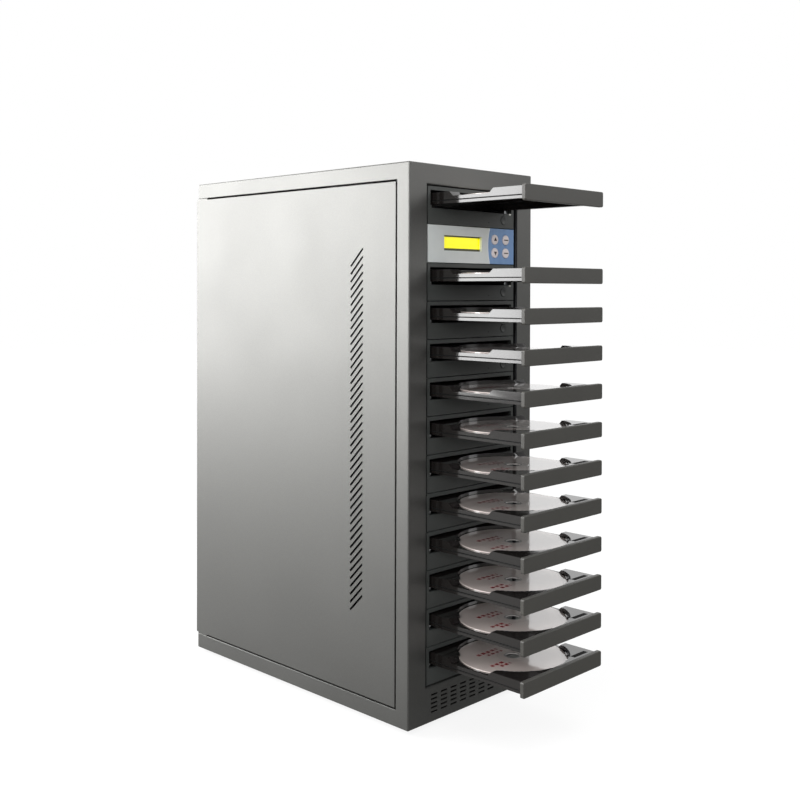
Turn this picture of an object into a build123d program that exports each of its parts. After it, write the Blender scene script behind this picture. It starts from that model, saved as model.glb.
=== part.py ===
from build123d import *
import os
from math import cos, hypot, radians, sin

# Disc duplicator tower: a sheet-steel case of thirteen half-height bays. Bay 1 holds the reader,
# bay 2 the control panel and bays 3 to 13 the writers. All twelve trays stand open.
# Millimetres. X runs across the front, Y from front to back, Z up from the floor.

os.makedirs("parts", exist_ok=True)

# Round outlines that repeat are drawn with a few flats each, to keep the whole tower light.
disc_flats = 24
button_flats = 12
hole_flats = 8
screw_flats = 6
fan_flats = 24
hub_flats = 16

# ---------------------------------------------------------------- case
case_width = 211.0
case_depth = 386.0
sheet = 1.2  # steel of the case and panels
fold_chamfer = 1.0  # outside of the folded edges
foot_height = 5.0
foot_radius = 11.0
foot_taper = 12.0  # degrees, narrower at the sole
foot_inset = 34.0  # foot centre from the sides, front and back of the case

# ---------------------------------------------------------------- bays
bay_count = 13
bay_pitch = 42.0
bay_sill = 40.4  # underside of the lowest bay above the case bottom
bay_head = 23.6  # case above the highest bay
control_bay = 2
opening_gap = 2.6  # beside the faceplates
opening_clearance = 0.6  # above and below the stack of bays
opening_fold = 2.0
jamb_depth = 11.0

# ---------------------------------------------------------------- lower front vent
vent_columns = 9
vent_rows = 5
vent_column_pitch = 16.0
vent_row_pitch = 4.7
vent_slot_length = 10.6
vent_slot_height = 1.9
vent_height = 20.6  # middle of the vent above the case bottom

# ---------------------------------------------------------------- side panels
panel_margin = 18.5  # case border round a side panel
panel_gap = 2.0  # shadow gap between border and panel
panel_return = 7.0  # folded edges of panel and border, into the case
seam_length = 19.0  # rear stretch where the panel widens to close the gap
seam_gap = 0.4
panel_travel = 20.0  # slid back before a panel lifts off
grip_standoff = 2.4  # between the case back and the panel's rear flange
grip_width = 24.0
louvre_count = 45
louvre_pitch = 8.79
louvre_length = 27.7
louvre_width = 2.5
louvre_slope = 45.0
louvre_setback = 81.5  # middle of the column from the case front
louvre_lowest = 121.8  # middle of the lowest slot above the case bottom

# ---------------------------------------------------------------- thumb screws
thumb_heights = (130.0, 480.0)  # above the case bottom
thumb_inset = 15.0
thumb_head_radius = 5.0
thumb_head_length = 7.0
thumb_shank_radius = 1.9
thumb_clearance = 0.3
thumb_shank_length = 9.0

# ---------------------------------------------------------------- drives
bezel_gap = 0.7  # between neighbouring faceplates
bezel_border = 4.2  # faceplate beside its slot
bezel_thickness = 5.0
bezel_recess = 2.0  # bezels behind the case front
bezel_lip = 1.4  # faceplate beside its housing
housing_gap = 1.4  # between neighbouring housings
housing_wall = 1.0
guide_overlap = 2.0  # ledge under the tray
guide_height = 3.0
eject_radius = 4.75
eject_clearance = 0.3
eject_across = 55.0  # right of the middle
eject_drop = 11.4  # below the bay's middle
eject_proud = 0.6
eject_collar = 1.2  # wider ring that keeps the button in its hole
eject_collar_length = 1.5

# ---------------------------------------------------------------- trays and discs
tray_travel = 128.0
fascia_overhang = 4.0  # beside the tray
fascia_height = 16.7
fascia_thickness = 4.0
fascia_top = 14.9  # above the bay's middle
fascia_chamfer = 0.75
fascia_proud = 1.0  # of the bezel when closed
slot_clearance = 1.2  # round the fascia
tray_spare = 11.0  # behind the closed tray
tray_depth = 12.8  # from the underside to the raised deck
deck_drop = 1.4  # raised deck under the fascia's top
dish_drop = 5.0  # dish floor under the raised deck
dish_clearance = 0.9
dish_margin = 4.1  # tray beside the dish, and between it and the fascia
low_front = 18.0  # low stretch of the sides ahead of the disc's middle
low_back = 32.0  # and behind it
ramp_length = 5.5
rim_length = 9.5  # raised deck behind the disc
tail_length = 16.0  # low stretch behind that
tray_floor = 2.0
tray_rail = 5.0
groove_height = 1.4
groove_depth = 1.2
groove_drop = 9.2  # groove under the raised deck
tray_running = 0.3  # between the tray and its guides
spindle_width = 42.0
lens_reach = 58.0  # end of the lens slot behind the disc's middle
tab_length = 10.0
tab_width = 5.0
tab_overlap = 1.6  # over the disc's edge
tab_thickness = 1.2
tab_lift = 0.8  # above the disc
tab_count = 4
tab_start = 45.0  # degrees from the tray's right
disc_radius = 60.0
disc_hole_radius = 7.5
disc_thickness = 1.2

# ---------------------------------------------------------------- drive cage
cage_sheet = 1.2
cage_depth = 150.0
cage_gap = 0.5  # behind the jambs
cage_foot = 12.0
cage_slot_length = 9.0
cage_slot_height = 4.0
slot_setback = 62.0  # screw slots behind the case front
slot_drop = 10.0  # below the bay's middle

# ---------------------------------------------------------------- control panel
plate_thickness = 3.0
window_width = 64.0
window_height = 16.8
window_across = -16.1
window_lift = 1.4
key_radius = 5.8
key_clearance = 0.3
key_columns = (39.2, 58.9)
key_lift = 7.7  # key rows above and below the plate's middle
key_proud = 1.2
key_collar = 0.9
key_collar_length = 1.2
arm_length = 70.0  # how far the plate's side arms reach back
arm_height = 30.0
arm_thickness = 1.2
board_gap = 2.8  # between the board and the arms
board_margin = 1.65  # board within the plate's height
board_thickness = 1.6
board_setback = 12.0  # front of the board behind the case front
post_inset = 3.0  # posts of the board from its sides
post_width = 3.5
display_margin = 3.5  # display module round the window
display_gap = 0.3

# ---------------------------------------------------------------- rear
rear_flange = 10.0
rear_side_gap = 0.5
fan_size = 120.0
fan_depth = 25.0
fan_rim = 2.5  # frame beside its hole
fan_heights = (250.0, 420.0)  # above the case bottom
rear_lip = 1.5  # rear panel over the edge of the fan's hole
hub_radius = 21.0
hub_wall = 3.0
hub_length = 17.0
blade_count = 7
blade_thickness = 2.0
blade_chord = 22.0
blade_pitch_angle = 40.0
tip_clearance = 1.5
motor_plate = 4.0
motor_gap = 0.6
spoke_count = 4
spoke_width = 5.0
spoke_start = 45.0
shaft_radius = 2.0
shaft_running = 0.05

# ---------------------------------------------------------------- power supply
supply_width = 150.0
supply_height = 86.0
supply_depth = 140.0
supply_wall = 1.0
supply_window = 4.0  # rear panel's border round the supply's face
supply_fan_across = -30.0
supply_fan_radius = 37.0
supply_hub_radius = 14.0
supply_hub_length = 14.0
supply_blade_chord = 16.0
inlet_across = 47.0
inlet_drop = 16.0
inlet_width = 27.0
inlet_height = 20.0
inlet_flange = 2.0
inlet_flange_thickness = 1.2
inlet_depth = 19.0
inlet_wall = 1.5
pin_width = 2.0
pin_height = 4.0
pin_length = 15.0
pin_spread = 7.0
pin_offset = 2.0
switch_lift = 18.0
switch_width = 12.6
rocker_half = 8.9
rocker_tilt = 6.0
rocker_pivot_depth = 3.0
rocker_lip = 1.0
rocker_waist = 0.4
rocker_back = 2.0
rocker_root = 4.5  # half height of the rocker behind its pivot
trunnion_radius = 1.2
trunnion_length = 1.0
trunnion_running = 0.05
switch_clearance = 0.4

# ---------------------------------------------------------------- sizes and places that follow
dish_radius = disc_radius + dish_clearance
disc_setback = fascia_thickness + dish_margin + dish_radius  # disc middle behind the fascia's face
tray_width = 2 * (dish_radius + dish_margin)
tray_length = disc_setback + disc_radius + rim_length + ramp_length + tail_length
fascia_width = tray_width + 2 * fascia_overhang
slot_width = fascia_width + 2 * slot_clearance
slot_height = fascia_height + 2 * slot_clearance
bezel_width = slot_width + 2 * bezel_border
bezel_height = bay_pitch - bezel_gap
housing_width = bezel_width - 2 * bezel_lip
housing_height = bay_pitch - housing_gap
housing_depth = tray_length - fascia_proud + tray_spare - bezel_thickness + housing_wall
opening_width = bezel_width + 2 * opening_gap
bay_stack = bay_count * bay_pitch
case_height = bay_sill + bay_stack + bay_head
thumb_hole_radius = thumb_shank_radius + thumb_clearance
fan_hole_radius = fan_size / 2 - fan_rim
rear_hole_radius = fan_hole_radius - rear_lip

tray_reach = tray_travel + fascia_proud - bezel_recess  # open fascia ahead of the case front
rear_reach = grip_standoff + sheet + thumb_head_length  # thumb screws behind the case back
case_front = (tray_reach - rear_reach - case_depth) / 2  # centres the open tower on the origin
case_back = case_front + case_depth
case_middle = (case_front + case_back) / 2
case_bottom = foot_height
case_top = case_bottom + case_height
case_half = case_width / 2
bezel_front = case_front + bezel_recess
bezel_back = bezel_front + bezel_thickness
stack_bottom = case_bottom + bay_sill
stack_middle = stack_bottom + bay_stack / 2


def bay_level(bay):
    return stack_bottom + (bay_count - bay + 0.5) * bay_pitch


drive_bays = [bay for bay in range(1, bay_count + 1) if bay != control_bay]
drive_levels = [(0, bay_level(bay)) for bay in drive_bays]
control_level = bay_level(control_bay)


def facing(y):
    """A plane across the case at depth y: its sketch is seen from the front, and -amount goes back."""
    return Plane.XZ.offset(-y)


def beside(x):
    """A plane along the case at x: its sketch runs from front to back."""
    return Plane.YZ.offset(x)


def save(piece, label):
    piece.part.label = label
    export_step(piece.part, f"parts/{label}.step")


# ---------------------------------------------------------------- welded case frame
border_height = case_height - 2 * panel_margin
border_end = case_back - sheet - rear_flange - seam_length / 2
side_height = (case_bottom + case_top) / 2

with BuildPart() as case_frame:
    with BuildSketch(Plane.XY.offset(case_bottom)):
        with Locations((0, case_middle)):
            Rectangle(case_width, case_depth)
    extrude(amount=case_height)
    back_face = case_frame.faces().sort_by(Axis.Y)[-1]
    chamfer(case_frame.edges() - back_face.edges(), fold_chamfer)
    with BuildSketch(Plane.XY.offset(case_bottom + sheet)):
        with Locations((0, case_middle + sheet)):
            Rectangle(case_width - 2 * sheet, case_depth)
    extrude(amount=case_height - 2 * sheet, mode=Mode.SUBTRACT)
    # openings for the two side panels, which run out at the back
    with BuildSketch(Plane.YZ):
        with Locations((case_front + panel_margin + case_depth / 2, side_height)):
            Rectangle(case_depth, border_height)
    extrude(amount=case_width, both=True, mode=Mode.SUBTRACT)
    # the borders' folded edges
    for side in (-1, 1):
        with BuildSketch(beside(side * (case_half - sheet))):
            with Locations(((case_front + panel_margin - sheet + border_end) / 2, side_height)):
                Rectangle(border_end - case_front - panel_margin + sheet, border_height + 2 * sheet)
            with Locations((case_front + panel_margin + case_depth / 2, side_height)):
                Rectangle(case_depth, border_height, mode=Mode.SUBTRACT)
        extrude(amount=-side * panel_return)
    # bay opening with its folded jambs
    with BuildSketch(facing(case_front)):
        with Locations((0, stack_middle)):
            Rectangle(opening_width + 2 * sheet, bay_stack + 2 * opening_clearance + 2 * sheet)
    extrude(amount=-jamb_depth)
    with BuildSketch(facing(case_front)):
        with Locations((0, stack_middle)):
            Rectangle(opening_width, bay_stack + 2 * opening_clearance)
    extrude(amount=-jamb_depth, mode=Mode.SUBTRACT)
    front_face = case_frame.faces().sort_by(Axis.Y)[0]
    fillet(front_face.inner_wires()[0].edges(), opening_fold)
    # air slots under the lowest bay
    with BuildSketch(facing(case_front)):
        with Locations((0, case_bottom + vent_height)):
            with GridLocations(vent_column_pitch, vent_row_pitch, vent_columns, vent_rows):
                Rectangle(vent_slot_length, vent_slot_height)
    extrude(amount=-sheet, mode=Mode.SUBTRACT)
save(case_frame, "case_frame")

# ---------------------------------------------------------------- side panels
panel_front = case_front + panel_margin + panel_gap
panel_back = case_back + grip_standoff + sheet
panel_length = panel_back - panel_front
panel_height = border_height - 2 * panel_gap
# the folded edges stay clear of the rear panel when the panel is slid back
return_end = case_back - sheet - rear_flange - panel_travel - panel_gap


def side_panel(side):
    outside = side * case_half
    with BuildPart() as panel:
        with BuildSketch(beside(outside)):
            with Locations(((panel_front + panel_back) / 2, side_height)):
                Rectangle(panel_length, panel_height)
            with Locations((case_back - seam_length / 2, side_height)):
                Rectangle(seam_length, border_height - 2 * seam_gap)
        extrude(amount=-side * sheet)
        # folded edges at the front, top and bottom
        with BuildSketch(beside(outside - side * sheet)):
            with Locations(((panel_front + return_end) / 2, side_height)):
                Rectangle(return_end - panel_front, panel_height)
            with Locations((panel_front + sheet + case_depth / 2, side_height)):
                Rectangle(case_depth, panel_height - 2 * sheet, mode=Mode.SUBTRACT)
        extrude(amount=-side * (panel_return - sheet))
        # rear flange behind the case back
        with BuildSketch(facing(panel_back - sheet)):
            with Locations((outside - side * grip_width / 2, side_height)):
                Rectangle(grip_width, panel_height)
            with Locations(*[(outside - side * thumb_inset, case_bottom + z) for z in thumb_heights]):
                RegularPolygon(thumb_hole_radius, screw_flats, major_radius=False, mode=Mode.SUBTRACT)
        extrude(amount=-sheet)
        # column of slanting air slots
        slot_middle = louvre_lowest + (louvre_count - 1) / 2 * louvre_pitch
        with BuildSketch(beside(outside)):
            with Locations((case_front + louvre_setback, case_bottom + slot_middle)):
                with GridLocations(louvre_pitch, louvre_pitch, 1, louvre_count):
                    Rectangle(louvre_length, louvre_width, rotation=-louvre_slope)
        extrude(amount=-side * sheet, mode=Mode.SUBTRACT)
    return panel


def panel_screws(side):
    with BuildPart() as screws:
        spots = [(side * (case_half - thumb_inset), case_bottom + z) for z in thumb_heights]
        with BuildSketch(facing(panel_back)):
            with Locations(*spots):
                RegularPolygon(thumb_head_radius, button_flats)
        extrude(amount=-thumb_head_length)
        with BuildSketch(facing(panel_back)):
            with Locations(*spots):
                RegularPolygon(thumb_shank_radius, screw_flats)
        extrude(amount=thumb_shank_length)
    return screws


save(side_panel(-1), "left_panel")
save(side_panel(1), "right_panel")
save(panel_screws(-1), "left_panel_screws")
save(panel_screws(1), "right_panel_screws")

# ---------------------------------------------------------------- rubber feet
foot_spots = [
    (across * (case_half - foot_inset), along)
    for across in (-1, 1)
    for along in (case_front + foot_inset, case_back - foot_inset)
]
with BuildPart() as feet:
    with BuildSketch(Plane.XY.offset(foot_height)):
        with Locations(*foot_spots):
            RegularPolygon(foot_radius, button_flats)
    extrude(amount=-foot_height, taper=foot_taper)
save(feet, "feet")

# ---------------------------------------------------------------- rear panel
rear_width = case_width - 2 * sheet - 2 * rear_side_gap
supply_bottom = case_bottom + sheet
supply_level = supply_bottom + supply_height / 2
fan_spots = [(0, case_bottom + height) for height in fan_heights]

with BuildPart() as rear_panel:
    with BuildSketch(facing(case_back)):
        with Locations((0, side_height)):
            Rectangle(rear_width, case_height - 2 * sheet)
        with Locations((0, supply_level)):
            Rectangle(
                supply_width - 2 * supply_window,
                supply_height - 2 * supply_window,
                mode=Mode.SUBTRACT,
            )
        with Locations(*fan_spots):
            RegularPolygon(rear_hole_radius, fan_flats, mode=Mode.SUBTRACT)
        thumb_spots = [
            (side * (case_half - thumb_inset), case_bottom + z) for side in (-1, 1) for z in thumb_heights
        ]
        with Locations(*thumb_spots):
            RegularPolygon(thumb_hole_radius, screw_flats, major_radius=False, mode=Mode.SUBTRACT)
    extrude(amount=sheet)
    # side and top flanges, turned forwards
    with BuildSketch(facing(case_back - sheet)):
        with Locations((0, side_height)):
            Rectangle(rear_width, case_height - 2 * sheet)
        with Locations((0, side_height - sheet)):
            Rectangle(rear_width - 2 * sheet, case_height - 2 * sheet, mode=Mode.SUBTRACT)
    extrude(amount=rear_flange)
save(rear_panel, "rear_panel")

# ---------------------------------------------------------------- drive cage
cage_front = case_front + jamb_depth + cage_gap
cage_inside = housing_width / 2
slot_y = case_front + slot_setback

with BuildPart() as drive_cage:
    for side in (-1, 1):
        with BuildSketch(beside(side * cage_inside)):
            with Locations((cage_front + cage_depth / 2, side_height)):
                Rectangle(cage_depth, case_height - 2 * sheet)
            with Locations(*[(slot_y, bay_level(bay) - slot_drop) for bay in range(1, bay_count + 1)]):
                Rectangle(cage_slot_length, cage_slot_height, mode=Mode.SUBTRACT)
        extrude(amount=side * cage_sheet)
        # feet of the cage, turned out along the case's floor and top
        with BuildSketch(facing(cage_front)):
            for level in (case_bottom + sheet + cage_sheet / 2, case_top - sheet - cage_sheet / 2):
                with Locations((side * (cage_inside + cage_foot / 2), level)):
                    Rectangle(cage_foot, cage_sheet)
        extrude(amount=-cage_depth)
save(drive_cage, "drive_cage")

# ---------------------------------------------------------------- drives
slot_lift = fascia_top - fascia_height / 2
tray_under = fascia_top - deck_drop - tray_depth  # tray underside from the bay's middle

with BuildPart() as drive_housings:
    with BuildSketch(facing(bezel_back)):
        with Locations(*drive_levels):
            Rectangle(housing_width, housing_height)
    extrude(amount=-housing_depth)
    with BuildSketch(facing(bezel_back)):
        with Locations(*drive_levels):
            Rectangle(housing_width - 2 * housing_wall, housing_height - 2 * housing_wall)
    extrude(amount=-(housing_depth - housing_wall), mode=Mode.SUBTRACT)
    # ledges that the tray's rails run on
    guide_top = tray_under - tray_running
    guide_inner = tray_width / 2 - guide_overlap
    guide_outer = housing_width / 2 - housing_wall
    with BuildSketch(facing(bezel_back)):
        for across, level in drive_levels:
            for side in (-1, 1):
                guide_middle = side * (guide_inner + guide_outer) / 2
                with Locations((guide_middle, level + guide_top - guide_height / 2)):
                    Rectangle(guide_outer - guide_inner, guide_height)
    extrude(amount=-(housing_depth - housing_wall))
save(drive_housings, "drive_housings")

with BuildPart() as drive_bezels:
    with BuildSketch(facing(bezel_front)):
        with Locations(*drive_levels):
            Rectangle(bezel_width, bezel_height)
        with Locations(*[(0, level + slot_lift) for _, level in drive_levels]):
            Rectangle(slot_width, slot_height, mode=Mode.SUBTRACT)
        with Locations(*[(eject_across, level - eject_drop) for _, level in drive_levels]):
            RegularPolygon(
                eject_radius + eject_clearance, button_flats, major_radius=False, mode=Mode.SUBTRACT
            )
    extrude(amount=-bezel_thickness)
save(drive_bezels, "drive_bezels")


def eject_button(level):
    with BuildPart() as button:
        with BuildSketch(facing(bezel_front - eject_proud)):
            with Locations((eject_across, level - eject_drop)):
                RegularPolygon(eject_radius, button_flats)
        extrude(amount=-(eject_proud + bezel_thickness))
        with BuildSketch(facing(bezel_back)):
            with Locations((eject_across, level - eject_drop)):
                RegularPolygon(eject_radius + eject_collar, screw_flats)
        extrude(amount=-eject_collar_length)
    return button


# ---------------------------------------------------------------- trays and discs
fascia_face = case_front - tray_reach
disc_y = fascia_face + disc_setback
tray_back = fascia_face + tray_length


def tray(level):
    top = level + fascia_top
    deck = top - deck_drop
    dish = deck - dish_drop
    under = deck - tray_depth
    rim_end = disc_y + disc_radius + rim_length
    with BuildPart() as body:
        # side view: raised decks before and behind the disc, low between them
        with BuildSketch(beside(-tray_width / 2)):
            with BuildLine():
                Polyline(
                    (fascia_face + fascia_thickness, under),
                    (fascia_face + fascia_thickness, deck),
                    (disc_y - low_front - ramp_length, deck),
                    (disc_y - low_front, dish),
                    (disc_y + low_back, dish),
                    (disc_y + low_back + ramp_length, deck),
                    (rim_end, deck),
                    (rim_end + ramp_length, dish),
                    (tray_back, dish),
                    (tray_back, under),
                    close=True,
                )
            make_face()
        extrude(amount=tray_width)
        # dish for the disc, and the slot for spindle and lens
        with BuildSketch(Plane.XY.offset(deck)):
            with Locations((0, disc_y)):
                half_flat = 180 / disc_flats
                RegularPolygon(dish_radius, disc_flats, major_radius=False, rotation=half_flat)
        extrude(amount=-dish_drop, mode=Mode.SUBTRACT)
        with BuildSketch(Plane.XY.offset(dish)):
            with Locations((0, disc_y)):
                RegularPolygon(spindle_width / 2, button_flats, major_radius=False)
            with Locations((0, disc_y + lens_reach / 2)):
                Rectangle(spindle_width, lens_reach)
        extrude(amount=-tray_depth, mode=Mode.SUBTRACT)
        # underside hollowed between the rails
        with BuildSketch(Plane.XY.offset(under)):
            with Locations((0, (fascia_face + fascia_thickness + tray_back) / 2)):
                Rectangle(tray_width - 2 * tray_rail, tray_length - fascia_thickness - 2 * tray_rail)
        extrude(amount=tray_depth - dish_drop - tray_floor, mode=Mode.SUBTRACT)
        # running grooves along both rails
        with BuildSketch(facing(fascia_face + fascia_thickness)):
            for side in (-1, 1):
                with Locations((side * (tray_width - groove_depth) / 2, deck - groove_drop)):
                    Rectangle(groove_depth, groove_height)
        extrude(amount=-tray_length, mode=Mode.SUBTRACT)
        # four tabs that hold a disc when the drive stands on its side
        with BuildSketch(Plane.XY.offset(dish + disc_thickness + tab_lift)):
            with Locations((0, disc_y)):
                tab_ring = disc_radius - tab_overlap + tab_width / 2
                with PolarLocations(tab_ring, tab_count, start_angle=tab_start):
                    Rectangle(tab_width, tab_length)
        extrude(amount=tab_thickness)
        # fascia, rounded all round its face
        with BuildSketch(facing(fascia_face + fascia_thickness)):
            with Locations((0, top - fascia_height / 2)):
                Rectangle(fascia_width, fascia_height)
        extrude(amount=fascia_thickness)
        chamfer(body.faces().sort_by(Axis.Y)[0].edges(), fascia_chamfer)
    return body


def disc(level):
    with BuildPart() as plate:
        with BuildSketch(Plane.XY.offset(level + fascia_top - deck_drop - dish_drop)):
            with Locations((0, disc_y)):
                RegularPolygon(disc_radius, disc_flats)
                RegularPolygon(disc_hole_radius, hole_flats, mode=Mode.SUBTRACT)
        extrude(amount=disc_thickness)
    return plate


for bay, (_, level) in zip(drive_bays, drive_levels):
    save(tray(level), f"tray_{bay:02d}")
    save(disc(level), f"disc_{bay:02d}")
    save(eject_button(level), f"eject_button_{bay:02d}")

# ---------------------------------------------------------------- control panel
arm_outside = housing_width / 2
key_spots = {
    "key_up": (key_columns[0], key_lift),
    "key_down": (key_columns[0], -key_lift),
    "key_cancel": (key_columns[1], key_lift),
    "key_enter": (key_columns[1], -key_lift),
}

with BuildPart() as control_plate:
    with BuildSketch(facing(bezel_front)):
        with Locations((0, control_level)):
            Rectangle(bezel_width, bezel_height)
        with Locations((window_across, control_level + window_lift)):
            Rectangle(window_width, window_height, mode=Mode.SUBTRACT)
        with Locations(*[(across, control_level + lift) for across, lift in key_spots.values()]):
            RegularPolygon(key_radius + key_clearance, button_flats, major_radius=False, mode=Mode.SUBTRACT)
    extrude(amount=-plate_thickness)
    # side arms that hold it in the cage
    with BuildSketch(facing(bezel_front + plate_thickness)):
        for side in (-1, 1):
            with Locations((side * (arm_outside - arm_thickness / 2), control_level)):
                Rectangle(arm_thickness, arm_height)
    extrude(amount=-(arm_length - plate_thickness))
save(control_plate, "control_plate")

board_front = case_front + board_setback
board_width = 2 * (arm_outside - arm_thickness - board_gap)
board_height = bezel_height - 2 * board_margin
display_front = bezel_front + plate_thickness + display_gap

with BuildPart() as display_module:
    with BuildSketch(facing(board_front)):
        with Locations((0, control_level)):
            Rectangle(board_width, board_height)
    extrude(amount=-board_thickness)
    with BuildSketch(facing(display_front)):
        with Locations((window_across, control_level + window_lift)):
            Rectangle(window_width + 2 * display_margin, window_height + 2 * display_margin)
    extrude(amount=-(board_front - display_front))
    # posts that carry the board behind the plate
    with BuildSketch(facing(bezel_front + plate_thickness)):
        with Locations((0, control_level)):
            with GridLocations(board_width - 2 * post_inset, board_height - 2 * post_inset, 2, 2):
                Rectangle(post_width, post_width)
    extrude(amount=-(board_front - bezel_front - plate_thickness))
save(display_module, "display_module")


def key(across, lift):
    with BuildPart() as cap:
        with BuildSketch(facing(bezel_front - key_proud)):
            with Locations((across, control_level + lift)):
                RegularPolygon(key_radius, button_flats)
        extrude(amount=-(key_proud + plate_thickness))
        with BuildSketch(facing(bezel_front + plate_thickness)):
            with Locations((across, control_level + lift)):
                RegularPolygon(key_radius + key_collar, button_flats)
        extrude(amount=-key_collar_length)
    return cap


for name, (across, lift) in key_spots.items():
    save(key(across, lift), name)

# ---------------------------------------------------------------- case fans
motor_front = case_back - sheet - motor_plate

with BuildPart() as fan_frames:
    with BuildSketch(facing(case_back - sheet)):
        with Locations(*fan_spots):
            Rectangle(fan_size, fan_size)
        with Locations(*fan_spots):
            RegularPolygon(fan_hole_radius, fan_flats, major_radius=False, mode=Mode.SUBTRACT)
    extrude(amount=fan_depth)
    # motor plate on its spokes, at the frame's rear face
    with BuildSketch(facing(case_back - sheet)):
        with Locations(*fan_spots):
            RegularPolygon(hub_radius, hub_flats)
            with PolarLocations((hub_radius + fan_hole_radius) / 2, spoke_count, start_angle=spoke_start):
                Rectangle(fan_hole_radius - hub_radius + hub_wall, spoke_width)
        with Locations(*fan_spots):
            RegularPolygon(shaft_radius + shaft_running, screw_flats, major_radius=False, mode=Mode.SUBTRACT)
    extrude(amount=motor_plate)
save(fan_frames, "fan_frames")


def rotor(across, level, rear, hub, length, tip, chord, bearing):
    """A fan's hub and blades, in front of the motor plate whose front is at rear."""
    with BuildPart() as wheel:
        with BuildSketch(facing(rear)):
            with Locations((across, level)):
                RegularPolygon(hub, hub_flats)
        extrude(amount=length)
        for turn in range(blade_count):
            angle = radians(turn * 360 / blade_count)
            outwards = (cos(angle), 0, sin(angle))
            root = Plane(origin=(across, rear - length / 2, level), x_dir=(0, -1, 0), z_dir=outwards)
            with BuildSketch(root.offset(hub - hub_wall)):
                Rectangle(chord, blade_thickness, rotation=90 - blade_pitch_angle)
            extrude(amount=tip - hub + hub_wall)
        with BuildSketch(facing(rear)):
            with Locations((across, level)):
                Circle(shaft_radius)
        extrude(amount=-bearing)
    return wheel


for name, (across, level) in zip(("lower_fan_rotor", "upper_fan_rotor"), fan_spots):
    wheel = rotor(
        across,
        level,
        motor_front - motor_gap,
        hub_radius,
        hub_length,
        fan_hole_radius - tip_clearance,
        blade_chord,
        motor_gap + motor_plate,
    )
    save(wheel, name)

# ---------------------------------------------------------------- power supply
supply_back = case_back - sheet
inlet_level = supply_level - inlet_drop
switch_level = supply_level + switch_lift
rocker_radius = hypot(rocker_half, rocker_pivot_depth + rocker_lip)
switch_hole = 2 * (rocker_radius + switch_clearance)
pocket_width = switch_width + 2 * switch_clearance
pocket_depth = rocker_pivot_depth + rocker_back + 2 * switch_clearance

with BuildPart() as power_supply:
    with BuildSketch(facing(supply_back)):
        with Locations((0, supply_level)):
            Rectangle(supply_width, supply_height)
    extrude(amount=supply_depth)
    with BuildSketch(facing(supply_back - supply_wall)):
        with Locations((0, supply_level)):
            Rectangle(supply_width - 2 * supply_wall, supply_height - 2 * supply_wall)
    extrude(amount=supply_depth - 2 * supply_wall, mode=Mode.SUBTRACT)
    # fan hole, with the motor plate on spokes
    with BuildSketch(facing(supply_back)):
        with Locations((supply_fan_across, supply_level)):
            RegularPolygon(supply_fan_radius, fan_flats, major_radius=False)
    extrude(amount=supply_wall, mode=Mode.SUBTRACT)
    with BuildSketch(facing(supply_back)):
        with Locations((supply_fan_across, supply_level)):
            RegularPolygon(supply_hub_radius, hub_flats)
            spoke_middle = (supply_hub_radius + supply_fan_radius) / 2
            with PolarLocations(spoke_middle, spoke_count, start_angle=spoke_start):
                Rectangle(supply_fan_radius - supply_hub_radius + hub_wall, spoke_width)
            RegularPolygon(shaft_radius + shaft_running, screw_flats, major_radius=False, mode=Mode.SUBTRACT)
    extrude(amount=motor_plate)
    # holes for the inlet and the switch, and the switch's pocket
    with BuildSketch(facing(supply_back)):
        with Locations((inlet_across, inlet_level)):
            Rectangle(inlet_width, inlet_height)
    extrude(amount=supply_wall, mode=Mode.SUBTRACT)
    with BuildSketch(facing(supply_back)):
        with Locations((inlet_across, switch_level)):
            Rectangle(pocket_width + 2 * supply_wall, switch_hole + 2 * supply_wall)
    extrude(amount=pocket_depth + supply_wall)
    with BuildSketch(facing(supply_back)):
        with Locations((inlet_across, switch_level)):
            Rectangle(pocket_width, switch_hole)
    extrude(amount=pocket_depth, mode=Mode.SUBTRACT)
    with BuildSketch(beside(inlet_across)):
        with Locations((supply_back - rocker_pivot_depth, switch_level)):
            RegularPolygon(trunnion_radius + trunnion_running, button_flats, major_radius=False)
    extrude(amount=pocket_width / 2 + supply_wall, both=True, mode=Mode.SUBTRACT)
save(power_supply, "power_supply")

with BuildPart() as power_inlet:
    with BuildSketch(facing(supply_back)):
        with Locations((inlet_across, inlet_level)):
            Rectangle(inlet_width + 2 * inlet_flange, inlet_height + 2 * inlet_flange)
    extrude(amount=-inlet_flange_thickness)
    with BuildSketch(facing(supply_back)):
        with Locations((inlet_across, inlet_level)):
            Rectangle(inlet_width, inlet_height)
    extrude(amount=inlet_depth)
    with BuildSketch(facing(supply_back + inlet_flange_thickness)):
        with Locations((inlet_across, inlet_level)):
            Rectangle(inlet_width - 2 * inlet_wall, inlet_height - 2 * inlet_wall)
    extrude(amount=inlet_depth + inlet_flange_thickness - 2 * inlet_wall, mode=Mode.SUBTRACT)
    # three pins on the socket's floor
    with BuildSketch(facing(supply_back - inlet_depth + 2 * inlet_wall)):
        with Locations(
            (inlet_across - pin_spread, inlet_level - pin_offset),
            (inlet_across + pin_spread, inlet_level - pin_offset),
            (inlet_across, inlet_level + pin_offset),
        ):
            Rectangle(pin_width, pin_height)
    extrude(amount=-pin_length)
save(power_inlet, "power_inlet")

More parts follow.
